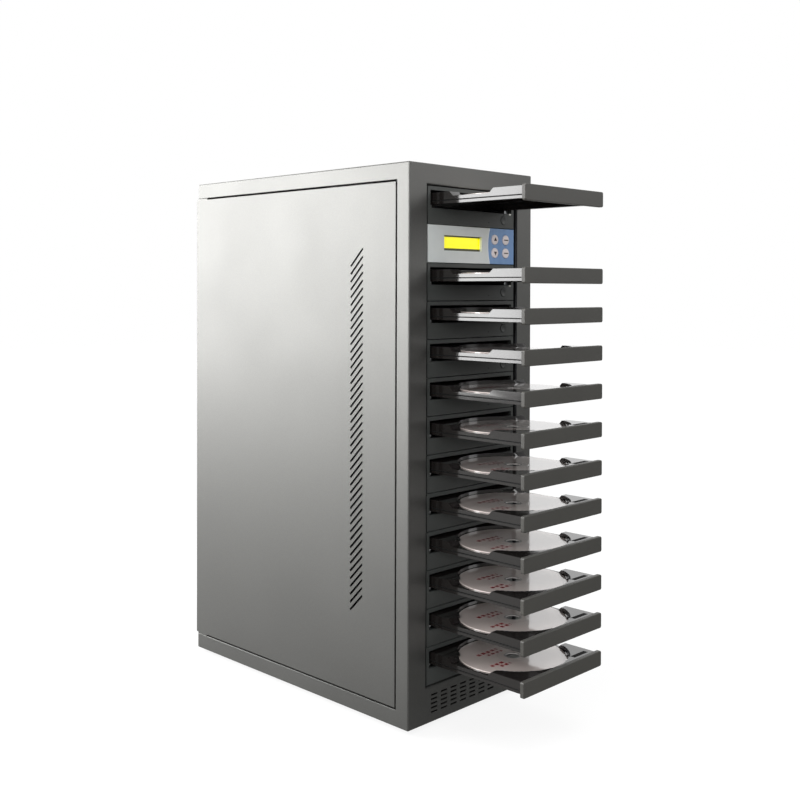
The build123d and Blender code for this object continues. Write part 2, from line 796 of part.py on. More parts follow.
with BuildPart() as power_switch:
    tilt = radians(rocker_tilt)
    pivot = Plane(
        origin=(inlet_across - switch_width / 2, supply_back - rocker_pivot_depth, switch_level),
        x_dir=(0, cos(tilt), sin(tilt)),
        z_dir=(1, 0, 0),
    )
    with BuildSketch(pivot):
        with BuildLine():
            Polyline(
                (-rocker_back, -rocker_root),
                (rocker_pivot_depth + rocker_lip, -rocker_half),
                (rocker_pivot_depth - rocker_waist, 0),
                (rocker_pivot_depth + rocker_lip, rocker_half),
                (-rocker_back, rocker_root),
                close=True,
            )
        make_face()
    extrude(amount=switch_width)
    with BuildSketch(beside(inlet_across)):
        with Locations((supply_back - rocker_pivot_depth, switch_level)):
            RegularPolygon(trunnion_radius, button_flats)
    extrude(amount=switch_width / 2 + switch_clearance + trunnion_length, both=True)
save(power_switch, "power_switch")

supply_rotor = rotor(
    supply_fan_across,
    supply_level,
    supply_back - motor_plate - motor_gap,
    supply_hub_radius,
    supply_hub_length,
    supply_fan_radius - tip_clearance,
    supply_blade_chord,
    motor_gap + motor_plate,
)
save(supply_rotor, "supply_fan_rotor")
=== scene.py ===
import math
import bmesh
import bpy
from mathutils import Matrix, Vector


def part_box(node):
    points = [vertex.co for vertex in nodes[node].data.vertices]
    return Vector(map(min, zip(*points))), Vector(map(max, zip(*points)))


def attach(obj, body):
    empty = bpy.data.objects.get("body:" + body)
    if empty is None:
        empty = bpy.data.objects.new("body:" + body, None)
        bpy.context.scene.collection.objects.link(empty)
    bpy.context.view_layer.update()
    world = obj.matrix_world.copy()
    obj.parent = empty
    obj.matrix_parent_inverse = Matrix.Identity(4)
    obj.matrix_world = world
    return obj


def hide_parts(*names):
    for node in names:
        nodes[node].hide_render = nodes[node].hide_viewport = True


# Disc duplicator tower with its trays open. Metres; X to the right, Y to the back, Z up.

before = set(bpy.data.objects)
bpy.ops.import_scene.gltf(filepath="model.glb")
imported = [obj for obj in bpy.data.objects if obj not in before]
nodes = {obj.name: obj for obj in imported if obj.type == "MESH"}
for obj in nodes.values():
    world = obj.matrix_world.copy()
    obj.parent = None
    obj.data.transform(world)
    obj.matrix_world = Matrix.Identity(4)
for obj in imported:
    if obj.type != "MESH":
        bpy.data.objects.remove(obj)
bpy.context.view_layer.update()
scene = bpy.context.scene
scene.view_settings.view_transform = "Standard"
print("frame loaded:", len(nodes), "nodes")

bays = [1] + list(range(3, 14))  # bay 2 holds the control panel
bayLook = {"fasciaDrop": 0.0018}
fasciaLow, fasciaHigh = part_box("tray_01")
plateLow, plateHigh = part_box("control_plate")
caseLow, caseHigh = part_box("case_frame")


def bayLevel(bay):
    # the drives' own height: a tray's fascia starts a little under it
    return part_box(f"tray_{bay:02d}")[0].z + bayLook["fasciaDrop"]


# helpers

def srgb(code, alpha=1.0):
    code = code.lstrip("#")
    parts = [int(code[i:i + 2], 16) / 255 for i in (0, 2, 4)]
    return [p / 12.92 if p <= 0.04045 else ((p + 0.055) / 1.055) ** 2.4 for p in parts] + [alpha]


def addNode(tree, kind, inputs=None, **settings):
    node = tree.nodes.new(kind)
    for name, value in settings.items():
        setattr(node, name, value)
    for key, value in (inputs or {}).items():
        if isinstance(value, bpy.types.NodeSocket):
            tree.links.new(value, node.inputs[key])
        else:
            node.inputs[key].default_value = value
    return node


def newMaterial(name):
    material = bpy.data.materials.new(name)
    material.use_nodes = True
    tree = material.node_tree
    tree.nodes.clear()
    shader = addNode(tree, "ShaderNodeBsdfPrincipled")
    addNode(tree, "ShaderNodeOutputMaterial", {"Surface": shader.outputs[0]})
    return material, tree, shader


def meshObject(name, bm, material, body, smoothAngle=32.0):
    mesh = bpy.data.meshes.new(name)
    bm.to_mesh(mesh)
    bm.free()
    piece = bpy.data.objects.new(name, mesh)
    scene.collection.objects.link(piece)
    for one in material if isinstance(material, list) else [material]:
        mesh.materials.append(one)
    mesh.shade_smooth()
    mesh.set_sharp_from_angle(angle=math.radians(smoothAngle))
    even = piece.modifiers.new("evenShading", "WEIGHTED_NORMAL")  # large faces stay flat beside their bevels
    even.keep_sharp = True
    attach(piece, body)
    return piece


def mergedCopy(node):
    bm = bmesh.new()
    bm.from_mesh(nodes[node].data)
    bmesh.ops.remove_doubles(bm, verts=bm.verts, dist=0.00001)
    bmesh.ops.dissolve_limit(bm, angle_limit=math.radians(1.0), verts=bm.verts, edges=bm.edges)
    return bm


def bevelEdges(bm, edges, width, segments=2):
    if edges:
        bmesh.ops.bevel(bm, geom=edges, offset=width, offset_type="OFFSET", affect="EDGES",
                        segments=segments, profile=0.5, material=-1, clamp_overlap=True)


def sharpEdges(bm, angle=30.0, test=None):
    found = []
    for edge in bm.edges:
        if len(edge.link_faces) == 2 and edge.calc_face_angle(0) > math.radians(angle):
            if test is None or test(edge):
                found.append(edge)
    return found


def joinInto(bm, part):
    mesh = bpy.data.meshes.new("part")
    part.to_mesh(mesh)
    part.free()
    bm.from_mesh(mesh)
    bpy.data.meshes.remove(mesh)


def turned(bm, profile, centre, axis, steps):
    # (radius, along) points spun round an axis: "Y" points back, "Z" up
    part = bmesh.new()
    verts = [part.verts.new((r, 0, h) if axis == "Z" else (r, h, 0)) for r, h in profile]
    edges = [part.edges.new(pair) for pair in zip(verts, verts[1:])]
    bmesh.ops.spin(part, geom=verts + edges, cent=(0, 0, 0), axis=(0, 0, 1) if axis == "Z" else (0, 1, 0),
                   angle=math.tau, steps=steps, use_merge=True, use_duplicate=False)
    bmesh.ops.remove_doubles(part, verts=part.verts, dist=0.000002)
    bmesh.ops.translate(part, verts=part.verts, vec=centre)
    bmesh.ops.recalc_face_normals(part, faces=part.faces)
    joinInto(bm, part)


def block(bm, low, high, bevel=0.0, segments=2):
    # a box between two corners, all its edges rounded
    size = [h - l for l, h in zip(low, high)]
    middle = [(h + l) / 2 for l, h in zip(low, high)]
    part = bmesh.new()
    bmesh.ops.create_cube(part, size=1.0, matrix=Matrix.Translation(middle) @ Matrix.Diagonal((*size, 1)))
    if bevel:
        bevelEdges(part, part.edges[:], bevel, segments)
    joinInto(bm, part)


def rod(bm, start, end, radius, segments):
    start, end = Vector(start), Vector(end)
    turn = (end - start).to_track_quat("Z", "Y").to_matrix().to_4x4()
    bmesh.ops.create_cone(bm, cap_ends=True, segments=segments, radius1=radius, radius2=radius,
                          depth=(end - start).length, matrix=Matrix.Translation((start + end) / 2) @ turn)


def wireRing(bm, centre, radius, wire, steps, sides=8):
    # round wire bent into a ring that faces the back
    turns = [math.tau * i / sides for i in range(sides + 1)]
    turned(bm, [(radius + wire * math.cos(t), wire * math.sin(t)) for t in turns], centre, "Y", steps)


# materials

paintLook = {"base": "#666664", "fleck": "#787876", "metallic": 0.88, "roughness": 0.46, "fleckSize": 0.0009,
             "cloudScale": 9.0, "unevenness": 0.05, "peel": 0.12, "peelHeight": 0.00005}
# a darker copy of the powder coat for the opening's inward faces: painted shade
jambShadeLook = {**paintLook, "base": "#242528", "fleck": "#2d2e31", "metallic": 0.3}


def powderCoat(name, look):
    # powder coat on steel: metal flake in a satin film, drawn coarser than it is, with faint orange peel
    material, tree, shader = newMaterial(name)
    place = addNode(tree, "ShaderNodeTexCoord").outputs["Object"]
    flake = addNode(tree, "ShaderNodeTexNoise", {"Vector": place, "Scale": 1 / look["fleckSize"], "Detail": 2.0})
    cloud = addNode(tree, "ShaderNodeTexNoise", {"Vector": place, "Scale": look["cloudScale"], "Detail": 3.0})
    tone = addNode(tree, "ShaderNodeMix", {"Factor": flake.outputs["Fac"]}, data_type="RGBA")
    tone.inputs["A"].default_value = srgb(look["base"])
    tone.inputs["B"].default_value = srgb(look["fleck"])
    rough = addNode(tree, "ShaderNodeMapRange", {"Value": cloud.outputs["Fac"],
                                                 "To Min": look["roughness"] - look["unevenness"],
                                                 "To Max": look["roughness"] + look["unevenness"]})
    bump = addNode(tree, "ShaderNodeBump", {"Height": flake.outputs["Fac"], "Strength": look["peel"],
                                            "Distance": look["peelHeight"]})
    tree.links.new(tone.outputs["Result"], shader.inputs["Base Color"])
    tree.links.new(rough.outputs["Result"], shader.inputs["Roughness"])
    tree.links.new(bump.outputs["Normal"], shader.inputs["Normal"])
    shader.inputs["Metallic"].default_value = look["metallic"]
    return material


plasticLook = {"cloudScale": 22.0, "unevenness": 0.05, "smoothest": 0.02, "grainHeight": 0.00004,
               "coatRoughness": 0.06, "coatIor": 1.7}


def mouldedPlastic(name, base, dust, roughness, grain=0.0006, strength=0.25, spec=0.5, coat=0.0):
    # injection-moulded plastic: even body colour, a light spark-eroded grain and uneven sheen
    material, tree, shader = newMaterial(name)
    place = addNode(tree, "ShaderNodeTexCoord").outputs["Object"]
    grains = addNode(tree, "ShaderNodeTexNoise", {"Vector": place, "Scale": 1 / grain, "Detail": 1.0})
    cloud = addNode(tree, "ShaderNodeTexNoise", {"Vector": place, "Scale": plasticLook["cloudScale"],
                                                  "Detail": 4.0})
    tone = addNode(tree, "ShaderNodeMix", {"Factor": cloud.outputs["Fac"]}, data_type="RGBA")
    tone.inputs["A"].default_value = srgb(base)
    tone.inputs["B"].default_value = srgb(dust)
    rough = addNode(tree, "ShaderNodeMapRange", {"Value": cloud.outputs["Fac"],
                                                 "To Min": max(roughness - plasticLook["unevenness"],
                                                               plasticLook["smoothest"]),
                                                 "To Max": roughness + plasticLook["unevenness"]})
    bump = addNode(tree, "ShaderNodeBump", {"Height": grains.outputs["Fac"], "Strength": strength,
                                            "Distance": plasticLook["grainHeight"]})
    tree.links.new(tone.outputs["Result"], shader.inputs["Base Color"])
    tree.links.new(rough.outputs["Result"], shader.inputs["Roughness"])
    tree.links.new(bump.outputs["Normal"], shader.inputs["Normal"])
    shader.inputs["Specular IOR Level"].default_value = spec
    shader.inputs["Coat Weight"].default_value = coat
    shader.inputs["Coat Roughness"].default_value = plasticLook["coatRoughness"]
    shader.inputs["Coat IOR"].default_value = plasticLook["coatIor"]
    return material


zincLook = {"light": "#b4b7b8", "dark": "#999c9d", "crystalScale": 70.0, "smooth": 0.28, "rough": 0.42}


def platedSheet():
    # zinc-plated sheet steel: bright grey with large soft crystals
    material, tree, shader = newMaterial("zincPlatedSteel")
    place = addNode(tree, "ShaderNodeTexCoord").outputs["Object"]
    crystal = addNode(tree, "ShaderNodeTexVoronoi", {"Vector": place, "Scale": zincLook["crystalScale"]})
    crystal = crystal.outputs["Distance"]
    rough = addNode(tree, "ShaderNodeMapRange", {"Value": crystal, "To Min": zincLook["smooth"],
                                                 "To Max": zincLook["rough"]})
    tone = addNode(tree, "ShaderNodeMix", {"Factor": crystal}, data_type="RGBA")
    tone.inputs["A"].default_value = srgb(zincLook["light"])
    tone.inputs["B"].default_value = srgb(zincLook["dark"])
    tree.links.new(tone.outputs["Result"], shader.inputs["Base Color"])
    tree.links.new(rough.outputs["Result"], shader.inputs["Roughness"])
    shader.inputs["Metallic"].default_value = 1.0
    return material


steelLook = {"tone": "#c9c9c6", "markScale": 900.0, "smooth": 0.16, "rough": 0.3}


def platedSteel():
    # nickel-plated steel: small turning marks
    material, tree, shader = newMaterial("nickelPlatedSteel")
    place = addNode(tree, "ShaderNodeTexCoord").outputs["Object"]
    marks = addNode(tree, "ShaderNodeTexNoise", {"Vector": place, "Scale": steelLook["markScale"], "Detail": 2.0})
    rough = addNode(tree, "ShaderNodeMapRange", {"Value": marks.outputs["Fac"], "To Min": steelLook["smooth"],
                                                 "To Max": steelLook["rough"]})
    tree.links.new(rough.outputs["Result"], shader.inputs["Roughness"])
    shader.inputs["Base Color"].default_value = srgb(steelLook["tone"])
    shader.inputs["Metallic"].default_value = 1.0
    return material


discLook = {
    "y": fasciaLow.y + 0.069, "outer": 0.0600, "hole": 0.0075, "thick": 0.0012, "steps": 96,
    "lip": 0.0002, "ring": (0.0165, 0.0168, 0.0176, 0.0179), "ringDepth": 0.00012,
    "label": "#efe2dd", "shade": "#e3d6d0", "ink": "#bb2f38", "hub": "#b8b4b1", "ringTone": "#8f8783",
    "printInner": 0.0098, "ringLine": (0.0169, 0.0003), "ringFaint": 0.35, "roughness": 0.16,
    "coatRoughness": 0.05, "coatIor": 1.95, "cloudScale": 35.0, "rippleScale": 70.0, "ripple": 0.25,
    "rippleHeight": 0.00018,
    # x from, x to, y from, y to of the red bars, from the disc's middle
    "bars": [(-0.030, 0.004, 0.0235, 0.0285), (-0.020, 0.004, 0.0170, 0.0205),
             (-0.044, -0.022, -0.0080, -0.0035), (-0.036, -0.020, -0.0150, -0.0105)],
    "barPitch": 0.0038, "barGap": 0.34,
}


def discPrint():
    # printable label side: pale lacquer over the metal layer, with generic red bars, and a clear hub
    material, tree, shader = newMaterial("printedDiscLacquer")
    place = addNode(tree, "ShaderNodeTexCoord").outputs["Object"]
    shift = addNode(tree, "ShaderNodeMapping", {"Vector": place, "Location": (0, -discLook["y"], 0)})
    split = addNode(tree, "ShaderNodeSeparateXYZ", {"Vector": shift.outputs[0]})
    x, y = split.outputs["X"], split.outputs["Y"]
    flat = addNode(tree, "ShaderNodeCombineXYZ", {"X": x, "Y": y}).outputs[0]
    radius = addNode(tree, "ShaderNodeVectorMath", {0: flat}, operation="LENGTH").outputs["Value"]
    comb = addNode(tree, "ShaderNodeMath", {0: x, 1: discLook["barPitch"]}, operation="PINGPONG").outputs[0]
    ink = addNode(tree, "ShaderNodeMath", {0: comb, 1: discLook["barPitch"] * discLook["barGap"]},
                  operation="GREATER_THAN").outputs[0]
    blocks = None
    for left, right, front, back in discLook["bars"]:
        across = addNode(tree, "ShaderNodeMath", {0: x, 1: (left + right) / 2, 2: (right - left) / 2},
                         operation="COMPARE").outputs[0]
        along = addNode(tree, "ShaderNodeMath", {0: y, 1: (front + back) / 2, 2: (back - front) / 2},
                        operation="COMPARE").outputs[0]
        one = addNode(tree, "ShaderNodeMath", {0: across, 1: along}, operation="MULTIPLY").outputs[0]
        blocks = one if blocks is None else addNode(tree, "ShaderNodeMath", {0: blocks, 1: one},
                                                    operation="MAXIMUM").outputs[0]
    ink = addNode(tree, "ShaderNodeMath", {0: ink, 1: blocks}, operation="MULTIPLY").outputs[0]
    printed = addNode(tree, "ShaderNodeMath", {0: radius, 1: discLook["printInner"]},
                      operation="GREATER_THAN").outputs[0]
    line, half = discLook["ringLine"]
    groove = addNode(tree, "ShaderNodeMath", {0: radius, 1: line, 2: half}, operation="COMPARE").outputs[0]
    faint = addNode(tree, "ShaderNodeMath", {0: groove, 1: discLook["ringFaint"]}, operation="MULTIPLY").outputs[0]
    cloud = addNode(tree, "ShaderNodeTexNoise", {"Vector": flat, "Scale": discLook["cloudScale"], "Detail": 3.0})
    tone = addNode(tree, "ShaderNodeMix", {"Factor": cloud.outputs["Fac"]}, data_type="RGBA")
    tone.inputs["A"].default_value = srgb(discLook["label"])
    tone.inputs["B"].default_value = srgb(discLook["shade"])
    for factor, colour in ((faint, discLook["ringTone"]), (ink, discLook["ink"])):
        tone = addNode(tree, "ShaderNodeMix", {"Factor": factor, "A": tone.outputs["Result"]}, data_type="RGBA")
        tone.inputs["B"].default_value = srgb(colour)
    whole = addNode(tree, "ShaderNodeMix", {"Factor": printed, "B": tone.outputs["Result"]}, data_type="RGBA")
    whole.inputs["A"].default_value = srgb(discLook["hub"])
    tree.links.new(whole.outputs["Result"], shader.inputs["Base Color"])
    # lacquer that isn't quite level, so what it mirrors wavers
    ripple = addNode(tree, "ShaderNodeTexNoise", {"Vector": flat, "Scale": discLook["rippleScale"], "Detail": 1.0})
    bump = addNode(tree, "ShaderNodeBump", {"Height": ripple.outputs["Fac"], "Strength": discLook["ripple"],
                                            "Distance": discLook["rippleHeight"]})
    tree.links.new(bump.outputs["Normal"], shader.inputs["Normal"])
    tree.links.new(bump.outputs["Normal"], shader.inputs["Coat Normal"])
    shader.inputs["Roughness"].default_value = discLook["roughness"]
    shader.inputs["Coat Weight"].default_value = 1.0
    shader.inputs["Coat Roughness"].default_value = discLook["coatRoughness"]
    shader.inputs["Coat IOR"].default_value = discLook["coatIor"]
    return material


plateLook = {"silver": "#dfe4e2", "cloudy": "#cfd4d4", "blue": "#5b82bb", "streak": "#84a9d2", "sliver": "#f0f4f4",
             "arcRadius": 0.0645, "arcX": 0.0919, "arcEdge": 0.0008, "roughness": 0.34, "cloudScale": 60.0,
             "streakScale": 140.0, "streakLength": 0.12, "streakTurn": 35}


def controlFoil():
    # satin silver foil with a printed blue field whose left edge is an arc
    material, tree, shader = newMaterial("printedControlFoil")
    middle = (plateLow.z + plateHigh.z) / 2
    place = addNode(tree, "ShaderNodeTexCoord").outputs["Object"]
    shift = addNode(tree, "ShaderNodeMapping", {"Vector": place, "Location": (-plateLook["arcX"], 0, -middle)})
    split = addNode(tree, "ShaderNodeSeparateXYZ", {"Vector": shift.outputs[0]})
    flat = addNode(tree, "ShaderNodeCombineXYZ", {"X": split.outputs["X"], "Y": split.outputs["Z"]})
    radius = addNode(tree, "ShaderNodeVectorMath", {0: flat.outputs[0]}, operation="LENGTH").outputs["Value"]
    inside = addNode(tree, "ShaderNodeMath", {0: radius, 1: plateLook["arcRadius"]}, operation="LESS_THAN")
    edge = addNode(tree, "ShaderNodeMath", {0: radius, 1: plateLook["arcRadius"] + plateLook["arcEdge"]},
                   operation="LESS_THAN")
    brushed = addNode(tree, "ShaderNodeTexNoise", {"Vector": place, "Scale": plateLook["cloudScale"], "Detail": 3.0})
    stretch = addNode(tree, "ShaderNodeMapping", {"Vector": place, "Scale": (1.0, 1.0, plateLook["streakLength"]),
                                                  "Rotation": (0, math.radians(plateLook["streakTurn"]), 0)})
    streaks = addNode(tree, "ShaderNodeTexNoise", {"Vector": stretch.outputs[0], "Scale": plateLook["streakScale"],
                                                   "Detail": 2.0})
    silver = addNode(tree, "ShaderNodeMix", {"Factor": brushed.outputs["Fac"]}, data_type="RGBA")
    silver.inputs["A"].default_value = srgb(plateLook["silver"])
    silver.inputs["B"].default_value = srgb(plateLook["cloudy"])
    blue = addNode(tree, "ShaderNodeMix", {"Factor": streaks.outputs["Fac"]}, data_type="RGBA")
    blue.inputs["A"].default_value = srgb(plateLook["blue"])
    blue.inputs["B"].default_value = srgb(plateLook["streak"])
    edged = addNode(tree, "ShaderNodeMix", {"Factor": edge.outputs[0], "A": silver.outputs["Result"]},
                    data_type="RGBA")
    edged.inputs["B"].default_value = srgb(plateLook["sliver"])
    whole = addNode(tree, "ShaderNodeMix", {"Factor": inside.outputs[0], "A": edged.outputs["Result"],
                                            "B": blue.outputs["Result"]}, data_type="RGBA")
    tree.links.new(whole.outputs["Result"], shader.inputs["Base Color"])
    shader.inputs["Roughness"].default_value = plateLook["roughness"]
    return material


displayLook = {"lit": "#fff700", "edge": "#33320a", "board": "#1d5a34", "glow": 0.6,
               "litMiddle": plateLow.z + 0.0226, "litHalf": 0.0062, "glassDepth": 0.004, "roughness": 0.25,
               "cell": "#f2ea00", "cellWidth": 0.0036, "cellHeight": 0.0075, "cellGap": 0.0003}


def displayGlass():
    # backlit display: even yellow with faint character cells, dark along its long edges; green board behind it
    material, tree, shader = newMaterial("backlitDisplay")
    place = addNode(tree, "ShaderNodeTexCoord").outputs["Object"]
    turn = addNode(tree, "ShaderNodeMapping", {"Vector": place, "Rotation": (math.radians(-90), 0, 0)})
    cells = addNode(tree, "ShaderNodeTexBrick", {"Vector": turn.outputs[0], "Scale": 1.0,
                                                 "Brick Width": displayLook["cellWidth"],
                                                 "Row Height": displayLook["cellHeight"],
                                                 "Mortar Size": displayLook["cellGap"],
                                                 "Color1": srgb(displayLook["cell"]),
                                                 "Color2": srgb(displayLook["cell"]),
                                                 "Mortar": srgb(displayLook["lit"])}, offset=0.0, squash=1.0)
    split = addNode(tree, "ShaderNodeSeparateXYZ", {"Vector": place})
    lit = addNode(tree, "ShaderNodeMath", {0: split.outputs["Z"], 1: displayLook["litMiddle"],
                                           2: displayLook["litHalf"]}, operation="COMPARE")
    behind = addNode(tree, "ShaderNodeMath", {0: split.outputs["Y"], 1: plateHigh.y + displayLook["glassDepth"]},
                     operation="GREATER_THAN")
    glass = addNode(tree, "ShaderNodeMix", {"Factor": lit.outputs[0], "B": cells.outputs["Color"]}, data_type="RGBA")
    glass.inputs["A"].default_value = srgb(displayLook["edge"])
    whole = addNode(tree, "ShaderNodeMix", {"Factor": behind.outputs[0], "A": glass.outputs["Result"]},
                    data_type="RGBA")
    whole.inputs["B"].default_value = srgb(displayLook["board"])
    glow = addNode(tree, "ShaderNodeMix", {"Factor": behind.outputs[0], "A": glass.outputs["Result"]},
                   data_type="RGBA")
    glow.inputs["B"].default_value = srgb("#000000")
    tree.links.new(whole.outputs["Result"], shader.inputs["Base Color"])
    tree.links.new(glow.outputs["Result"], shader.inputs["Emission Color"])
    shader.inputs["Emission Strength"].default_value = displayLook["glow"]
    shader.inputs["Roughness"].default_value = displayLook["roughness"]
    return material


paint = powderCoat("silverGreyPowderCoat", paintLook)
jambShadePaint = powderCoat("paintedShadeJambCoat", jambShadeLook)  # a dark copy of the coat inside the opening's folds: painted shade
trayPlastic = mouldedPlastic("glossyTrayABS", "#1d1b1a", "#242120", 0.12, strength=0.02, spec=0.5, coat=0.45)
fasciaPlastic = mouldedPlastic("grainedFasciaABS", "#444340", "#4b4a46", 0.42)
bezelPlastic = mouldedPlastic("grainedBezelABS", "#3f4241", "#474a48", 0.48)
buttonPlastic = mouldedPlastic("buttonABS", "#3b3e3d", "#434644", 0.4)
# black for holes, cut-outs and groove floors: painted shade where they are dark
recessShadeBlack = mouldedPlastic("paintedShadeBlack", "#080808", "#0c0c0c", 0.9)
lampLens = mouldedPlastic("clearLampLens", "#b9b9ae", "#a9a99e", 0.15, strength=0.02, coat=1.0)
blackPlastic = mouldedPlastic("blackGlassFilledNylon", "#1a1a1b", "#222324", 0.5)
footRubber = mouldedPlastic("mattRubber", "#1c1c1c", "#262625", 0.8, grain=0.0012, strength=0.4)
keyRubber = mouldedPlastic("paleSiliconeKey", "#f3eaea", "#e9dfdf", 0.55)
markInk = mouldedPlastic("darkKeyInk", "#3c2c2e", "#463638", 0.6)
zincSteel = platedSheet()
plainSteel = platedSteel()
discLacquer = discPrint()
discMirror = mouldedPlastic("discRecordingSide", "#4b4654", "#565062", 0.1, strength=0.02, coat=1.0)
foil = controlFoil()
display = displayGlass()
print("materials made")

# camera and light

cameraLook = {"place": (-0.92198, -0.92537, 0.47803), "yaw": 45.435, "pitch": -0.531, "roll": 0.162,
              "lens": 48.06, "sensor": 36.0, "shiftY": -0.1258, "clip": (0.05, 60.0)}


def photoCamera():
    data = bpy.data.cameras.new("photoCamera")
    data.lens = cameraLook["lens"]
    data.sensor_width = cameraLook["sensor"]
    data.shift_y = cameraLook["shiftY"]
    data.clip_start, data.clip_end = cameraLook["clip"]
    camera = bpy.data.objects.new("photoCamera", data)
    scene.collection.objects.link(camera)
    yaw, pitch, roll = (math.radians(cameraLook[k]) for k in ("yaw", "pitch", "roll"))
    forward = Vector((math.sin(yaw) * math.cos(pitch), math.cos(yaw) * math.cos(pitch), math.sin(pitch)))
    right = Vector((math.cos(yaw), -math.sin(yaw), 0))
    up = right.cross(forward)
    x = math.cos(roll) * right + math.sin(roll) * up
    y = -math.sin(roll) * right + math.cos(roll) * up
    turn = Matrix((x, y, -forward)).transposed()
    camera.matrix_world = Matrix.Translation(cameraLook["place"]) @ turn.to_4x4()
    scene.camera = camera


lampLook = {
    # name: place, aimed at, width, height, radiance
    "leftBackSoftbox": ((-1.35, 1.75, 1.02), (-0.105, 0.06, 0.40), 1.8, 1.85, 7.7),
    "frontLeftSoftbox": ((-2.4, -1.3, 1.25), (0.0, -0.16, 0.40), 1.3, 1.3, 6.5),
    "frontRightSoftbox": ((2.0, -2.2, 1.6), (0.0, -0.15, 0.5), 1.4, 2.0, 1.6),
    "topSoftbox": ((0.3, -0.4, 3.0), (0.0, -0.1, 0.4), 2.2, 2.0, 2.4),
}


def studioLamps():
    for name, (place, aim, width, height, radiance) in lampLook.items():
        data = bpy.data.lights.new(name, "AREA")
        data.shape = "RECTANGLE"
        data.size, data.size_y = width, height
        data.energy = radiance * math.pi * width * height
        lamp = bpy.data.objects.new(name, data)
        scene.collection.objects.link(lamp)
        lamp.location = place
        lamp.rotation_mode = "QUATERNION"
        lamp.rotation_quaternion = (Vector(aim) - Vector(place)).to_track_quat("-Z", "Y")
        lamp.visible_camera = False


worldLook = {"seen": 1.0, "mirrored": 1.0, "light": 0.68, "mirroredFront": 0.3, "fade": (-0.15, 0.35)}


def studioWorld():
    world = bpy.data.worlds.new("studioWorld")
    scene.world = world
    world.use_nodes = True
    tree = world.node_tree
    tree.nodes.clear()
    rays = addNode(tree, "ShaderNodeLightPath")
    # behind the tower the backdrop is white, also in a mirror; in front of it the room is dim
    place = addNode(tree, "ShaderNodeTexCoord").outputs["Generated"]
    split = addNode(tree, "ShaderNodeSeparateXYZ", {"Vector": place})
    behind = addNode(tree, "ShaderNodeMapRange", {"Value": split.outputs["Y"], "From Min": worldLook["fade"][0],
                                                  "From Max": worldLook["fade"][1],
                                                  "To Min": worldLook["mirroredFront"],
                                                  "To Max": worldLook["mirrored"]},
                     interpolation_type="SMOOTHSTEP")
    white = (1, 1, 1, 1)
    mirrored = addNode(tree, "ShaderNodeBackground", {"Color": white, "Strength": behind.outputs["Result"]})
    light = addNode(tree, "ShaderNodeBackground", {"Color": white, "Strength": worldLook["light"]})
    seen = addNode(tree, "ShaderNodeBackground", {"Color": white, "Strength": worldLook["seen"]})
    first = addNode(tree, "ShaderNodeMixShader", {0: rays.outputs["Is Glossy Ray"], 1: light.outputs[0],
                                                  2: mirrored.outputs[0]})
    both = addNode(tree, "ShaderNodeMixShader", {0: rays.outputs["Is Camera Ray"], 1: first.outputs[0],
                                                 2: seen.outputs[0]})
    addNode(tree, "ShaderNodeOutputWorld", {"Surface": both.outputs[0]})


floorLook = {"size": 14.0, "tone": "#6e6e6c", "roughness": 0.9, "spec": 0.1, "pale": 0.9, "near": 0.84,
             "white": 1.03, "mirrored": 0.3, "shadowReach": (0.55, 1.3), "fade": (-0.5, 0.4)}


def studioFloor():
    bm = bmesh.new()
    bmesh.ops.create_grid(bm, x_segments=1, y_segments=1, size=floorLook["size"] / 2)
    mesh = bpy.data.meshes.new("floor")
    bm.to_mesh(mesh)
    bm.free()
    floor = bpy.data.objects.new("floor", mesh)
    scene.collection.objects.link(floor)
    material, tree, shader = newMaterial("paleFloor")
    shader.inputs["Base Color"].default_value = srgb(floorLook["tone"])
    shader.inputs["Roughness"].default_value = floorLook["roughness"]
    shader.inputs["Specular IOR Level"].default_value = floorLook["spec"]
    rays = addNode(tree, "ShaderNodeLightPath")
    place = addNode(tree, "ShaderNodeTexCoord").outputs["Object"]
    away = addNode(tree, "ShaderNodeVectorMath", {0: place}, operation="LENGTH").outputs["Value"]
    # near the tower the floor keeps its shadow; farther off it is as white as the backdrop
    seen = addNode(tree, "ShaderNodeMapRange", {"Value": away, "From Min": floorLook["shadowReach"][0],
                                                "From Max": floorLook["shadowReach"][1],
                                                "To Min": floorLook["near"], "To Max": 1.0},
                   interpolation_type="SMOOTHSTEP")
    white = addNode(tree, "ShaderNodeEmission", {"Color": (1, 1, 1, 1), "Strength": floorLook["white"]})
    pale = addNode(tree, "ShaderNodeBsdfDiffuse", {"Color": [floorLook["pale"]] * 3 + [1]})
    shown = addNode(tree, "ShaderNodeMixShader", {0: seen.outputs["Result"], 1: pale.outputs[0], 2: white.outputs[0]})
    out = next(n for n in tree.nodes if n.type == "OUTPUT_MATERIAL")
    # a mirror shows the floor pale behind the tower and dim in front of it, as it does the backdrop
    split = addNode(tree, "ShaderNodeSeparateXYZ", {"Vector": place})
    behind = addNode(tree, "ShaderNodeMapRange", {"Value": split.outputs["Y"], "From Min": floorLook["fade"][0],
                                                  "From Max": floorLook["fade"][1],
                                                  "To Min": 0.0, "To Max": floorLook["mirrored"]},
                     interpolation_type="SMOOTHSTEP")
    glossy = addNode(tree, "ShaderNodeMath", {0: rays.outputs["Is Glossy Ray"], 1: behind.outputs["Result"]},
                     operation="MULTIPLY")
    backed = addNode(tree, "ShaderNodeMixShader", {0: glossy.outputs[0], 1: shader.outputs[0], 2: white.outputs[0]})
    both = addNode(tree, "ShaderNodeMixShader", {0: rays.outputs["Is Camera Ray"], 1: backed.outputs[0],
                                                 2: shown.outputs[0]})
    tree.links.new(both.outputs[0], out.inputs["Surface"])
    mesh.materials.append(material)


photoCamera()
studioLamps()
studioWorld()
studioFloor()
print("camera and light set")

# case, panels, faceplates and control plate

shellLook = {"panelEdge": 0.0004, "frameEdge": 0.0005, "bezelEdge": 0.0004, "plateEdge": 0.0004,
             "jamb": 0.0800, "jambDepth": 0.0180}


